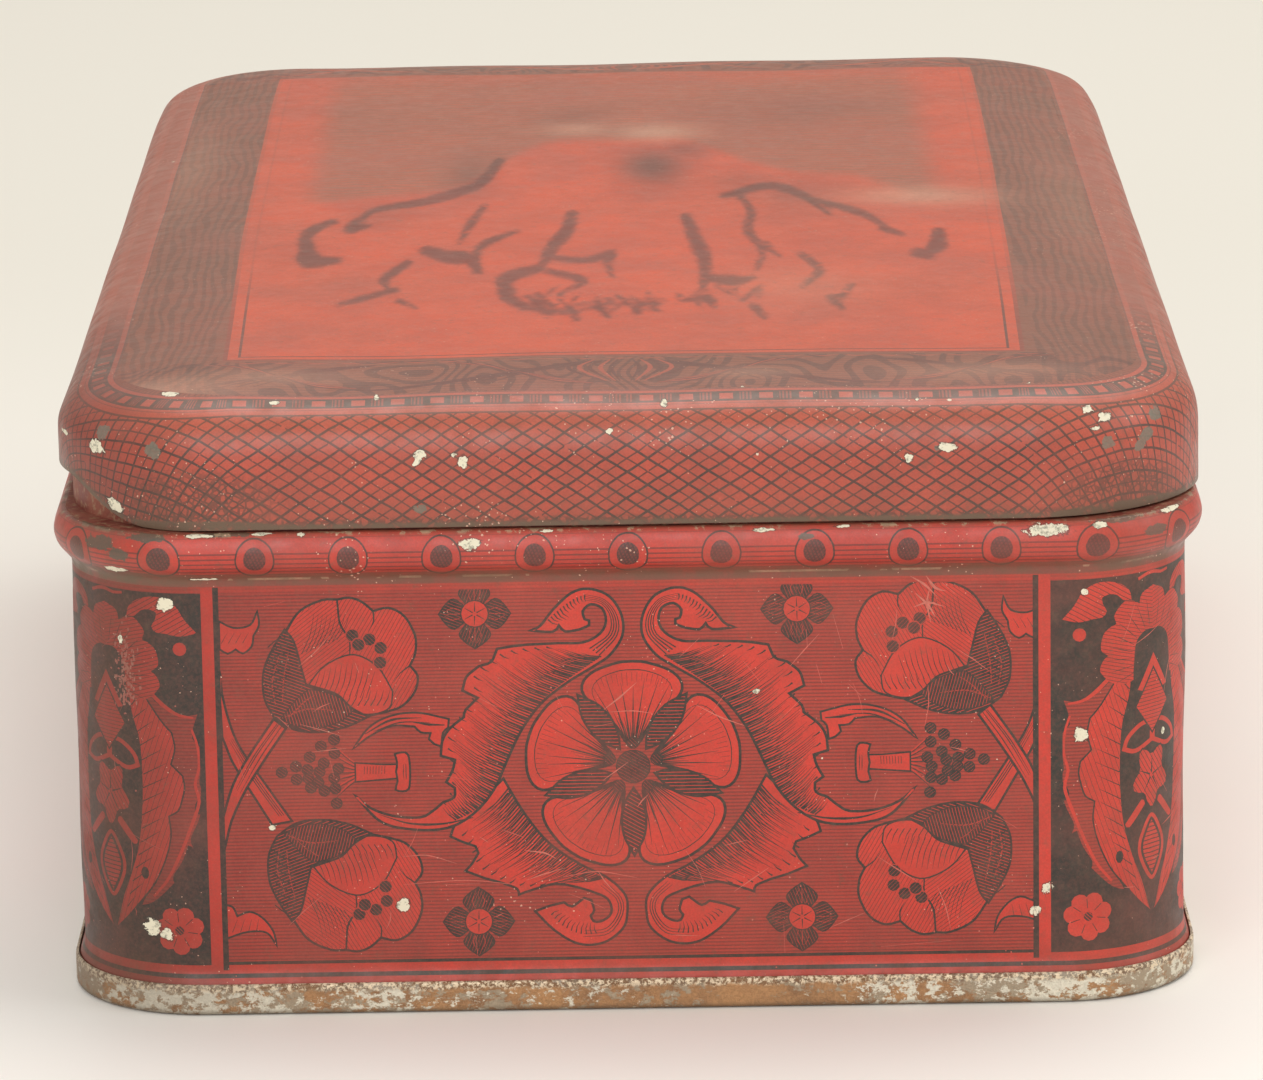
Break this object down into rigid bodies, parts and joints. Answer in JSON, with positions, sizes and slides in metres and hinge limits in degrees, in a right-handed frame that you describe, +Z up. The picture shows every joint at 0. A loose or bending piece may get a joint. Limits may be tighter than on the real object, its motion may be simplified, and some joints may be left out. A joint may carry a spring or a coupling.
{
  "type": "hinged biscuit tin",
  "caption": "Rectangular round-cornered tinplate storage tin with a rolled bead, folded base rim and a deep domed lid hinged along its short back end.",
  "frame": {"origin": "centre of the overall footprint, on the surface the tin stands on", "axes": "+Z up; +Y along the length, from the narrow front end towards the hinged back end; +X to the right seen from the front"},
  "size_m": [0.131, 0.2251, 0.0716],
  "materials": {
    "litho_red": "satin lithographed tinplate, worn",
    "litho_red_lid": "satin lithographed tinplate, worn",
    "gold_lacquer": "worn gold lacquer over tinplate",
    "bare_tinplate": "dull tinplate",
    "steel_wire": "dull drawn wire"
  },
  "bodies": {
    "tin_body": {"body_wall": "litho_red", "base_pan": "gold_lacquer", "body_hinge_strap_left": "bare_tinplate", "body_hinge_strap_right": "bare_tinplate", "hinge_pin_left": "steel_wire", "hinge_pin_right": "steel_wire"},
    "lid": {"lid_shell": "litho_red_lid", "lid_hinge_tab_left": "bare_tinplate", "lid_hinge_tab_right": "bare_tinplate"}
  },
  "joints": [
    {"name": "lid_hinge", "type": "hinge", "parent": "tin_body", "child": "lid", "pos_m": [0, 0.1114, 0.0578], "axis": [-1, 0, 0], "range_deg": [0, 110]}
  ]
}
